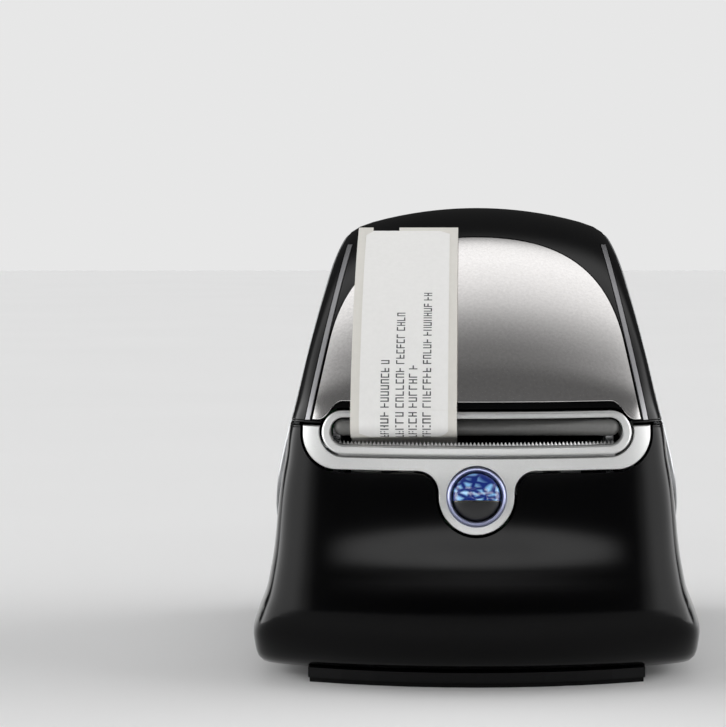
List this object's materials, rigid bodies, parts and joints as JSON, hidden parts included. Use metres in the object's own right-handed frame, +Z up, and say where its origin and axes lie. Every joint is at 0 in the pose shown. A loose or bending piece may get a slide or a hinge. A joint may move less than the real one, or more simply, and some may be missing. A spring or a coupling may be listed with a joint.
{
  "type": "label maker",
  "caption": "Desktop label printer: domed lid over a label roll, silver slot plate with round button, label leaving the slot.",
  "frame": {"origin": "centre of the footprint on the plane the feet stand on", "axes": "+X to the label maker's right as seen from the front, +Y from the slot towards the hinge, +Z up"},
  "size_m": [0.127, 0.1864, 0.1319],
  "materials": {
    "black_gloss": "gloss",
    "black_satin": "satin",
    "silver_plate": "satin metallic",
    "silver_panel": "satin metallic",
    "smoked_panel": "polished",
    "trim": "satin metallic",
    "steel": "satin",
    "motor": "satin",
    "rubber": "matte",
    "grey_plastic": "satin",
    "paper": "matte",
    "card": "matte",
    "blue_lens": "clear gloss",
    "bezel": "metallic",
    "circuit_board": "satin",
    "chip": "matte",
    "aluminium": "satin",
    "ceramic": "satin",
    "lever": "satin",
    "white_plastic": "satin",
    "led": "clear gloss"
  },
  "bodies": {
    "base": {"main_housing": "black_gloss", "bottom_cover": "black_satin", "front_foot": "rubber", "rear_foot_left": "rubber", "rear_foot_right": "rubber", "side_panel_left": "silver_panel", "side_panel_right": "silver_panel", "hinge_pin_left": "steel", "hinge_pin_right": "steel", "bottom_screw_1": "steel", "bottom_screw_2": "steel", "bottom_screw_3": "steel", "bottom_screw_4": "steel", "faceplate": "silver_plate", "exit_guide": "black_gloss", "tear_bar": "steel", "button_surround": "bezel", "led_board": "circuit_board", "status_led": "led", "label_strip": "paper", "chassis_tray": "black_satin", "spool_cradle_left": "black_satin", "spool_cradle_right": "black_satin", "side_frame_left": "steel", "motor_bracket": "steel", "feed_motor": "motor", "idler_axle": "steel", "platen_bush_left": "white_plastic", "platen_bush_right": "white_plastic", "head_pivot_pin": "steel", "lever_pivot_pin": "steel", "main_board": "circuit_board", "usb_socket": "steel", "power_jack": "chip", "main_chip": "chip", "capacitor": "chip"},
    "lid": {"lid_frame": "black_gloss", "lid_window": "smoked_panel", "lid_side_left": "silver_panel", "lid_side_right": "silver_panel", "lid_trim_left": "trim", "lid_trim_right": "trim"},
    "spool": {"spool_spindle": "grey_plastic", "spool_flange": "grey_plastic", "roll_core": "card", "label_roll": "paper"},
    "roll_guide": {"spool_guide": "grey_plastic"},
    "platen": {"platen_roller": "rubber", "platen_shaft": "steel", "platen_gear": "white_plastic"},
    "idler": {"idler_gear": "white_plastic"},
    "pinion": {"motor_pinion": "white_plastic"},
    "head": {"print_head": "ceramic", "head_heatsink": "aluminium"},
    "lever": {"release_lever": "lever"},
    "label_width_guide": {"width_guide": "grey_plastic"},
    "button": {"feed_button": "black_gloss", "status_lens": "blue_lens"}
  },
  "joints": [
    {"name": "lid_hinge", "type": "hinge", "parent": "base", "child": "lid", "pos_m": [0, 0.0896, 0.072], "axis": [-1, 0, 0], "range_deg": [0, 100], "deforming": ["label_strip"]},
    {"name": "spool_spin", "type": "hinge", "parent": "base", "child": "spool", "pos_m": [0, 0.022, 0.078], "axis": [1, 0, 0], "continuous": true},
    {"name": "roll_guide_slide", "type": "slide", "parent": "spool", "child": "roll_guide", "axis": [1, 0, 0], "range_m": [0, 0.03]},
    {"name": "platen_spin", "type": "hinge", "parent": "base", "child": "platen", "pos_m": [0, -0.0585, 0.0645], "axis": [1, 0, 0], "continuous": true},
    {"name": "idler_spin", "type": "hinge", "parent": "base", "child": "idler", "pos_m": [0, -0.04953, 0.04763], "axis": [1, 0, 0], "continuous": true},
    {"name": "pinion_spin", "type": "hinge", "parent": "base", "child": "pinion", "pos_m": [0, -0.048, 0.0296], "axis": [1, 0, 0], "continuous": true},
    {"name": "head_tilt", "type": "hinge", "parent": "base", "child": "head", "pos_m": [0, -0.0555, 0.0502], "axis": [1, 0, 0], "range_deg": [0, 6], "stiffness_Nm_per_rad": 0.5, "springref_deg": -11.46},
    {"name": "release_lever_swing", "type": "hinge", "parent": "base", "child": "lever", "pos_m": [-0.042, -0.044, 0.058], "axis": [1, 0, 0], "range_deg": [0, 36]},
    {"name": "width_guide_slide", "type": "slide", "parent": "base", "child": "label_width_guide", "axis": [1, 0, 0], "range_m": [0, 0.031]},
    {"name": "feed_button_press", "type": "slide", "parent": "base", "child": "button", "axis": [0, 0.9787, -0.2052], "range_m": [0, 0.0012], "stiffness_N_per_m": 300}
  ],
  "couplings": [
    {"joint": "idler_spin", "follows": "platen_spin", "ratio": -0.52},
    {"joint": "pinion_spin", "follows": "platen_spin", "ratio": 1.1818},
    {"joint": "release_lever_swing", "follows": "head_tilt", "ratio": 5.8}
  ]
}
